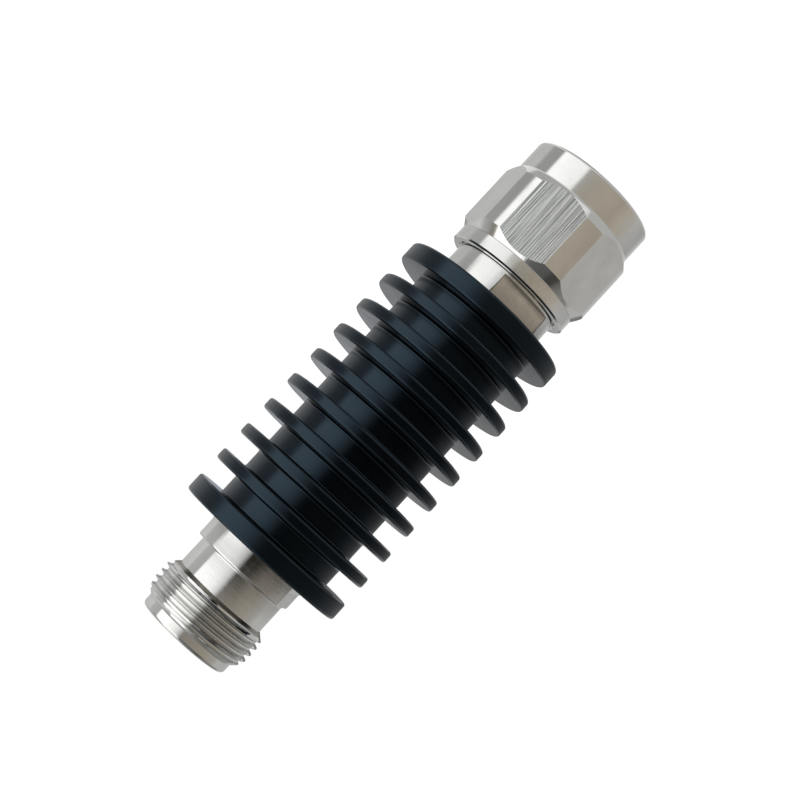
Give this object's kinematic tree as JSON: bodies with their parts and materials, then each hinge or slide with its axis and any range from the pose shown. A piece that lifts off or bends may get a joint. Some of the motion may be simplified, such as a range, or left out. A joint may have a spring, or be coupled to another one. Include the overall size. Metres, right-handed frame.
{
  "type": "rf attenuator",
  "caption": "Inline coaxial fixed attenuator: a black finned heat sink with a threaded jack at one end and a plug with a free coupling nut at the other.",
  "frame": {"origin": "centre of the circle on which the coupling nut's front face stands", "axes": "+Z along the common axis, from the plug up to the jack; -Y faces the viewer"},
  "size_m": [0.025, 0.025, 0.0785],
  "materials": {
    "black_anodised": "satin black anodised",
    "nickel": "nickel plated, turned",
    "bright_nickel": "bright plated",
    "gold": "gold plated",
    "plain_brass": "turned",
    "copper": "milled",
    "silver": "silver plated",
    "white_insulator": "plain",
    "chip_ceramic": "plain",
    "cover_ceramic": "plain",
    "gasket_rubber": "plain"
  },
  "bodies": {
    "attenuator": {"heat_sink": "black_anodised", "female_shell": "nickel", "female_insulator": "white_insulator", "female_bush": "plain_brass", "female_contact": "gold", "chip_carrier": "copper", "attenuator_chip": "chip_ceramic", "chip_cover": "cover_ceramic", "input_lead": "silver", "output_lead": "silver", "male_shell": "nickel", "male_insulator": "white_insulator", "male_bush": "plain_brass", "male_pin": "gold", "male_outer_contact": "bright_nickel", "gasket": "gasket_rubber", "retaining_ring": "plain_brass"},
    "nut": {"coupling_nut": "nickel"}
  },
  "joints": [
    {"name": "nut_spin", "type": "hinge", "parent": "attenuator", "child": "nut", "pos_m": [0, 0, 0.015], "axis": [0, 0, 1], "continuous": true}
  ]
}
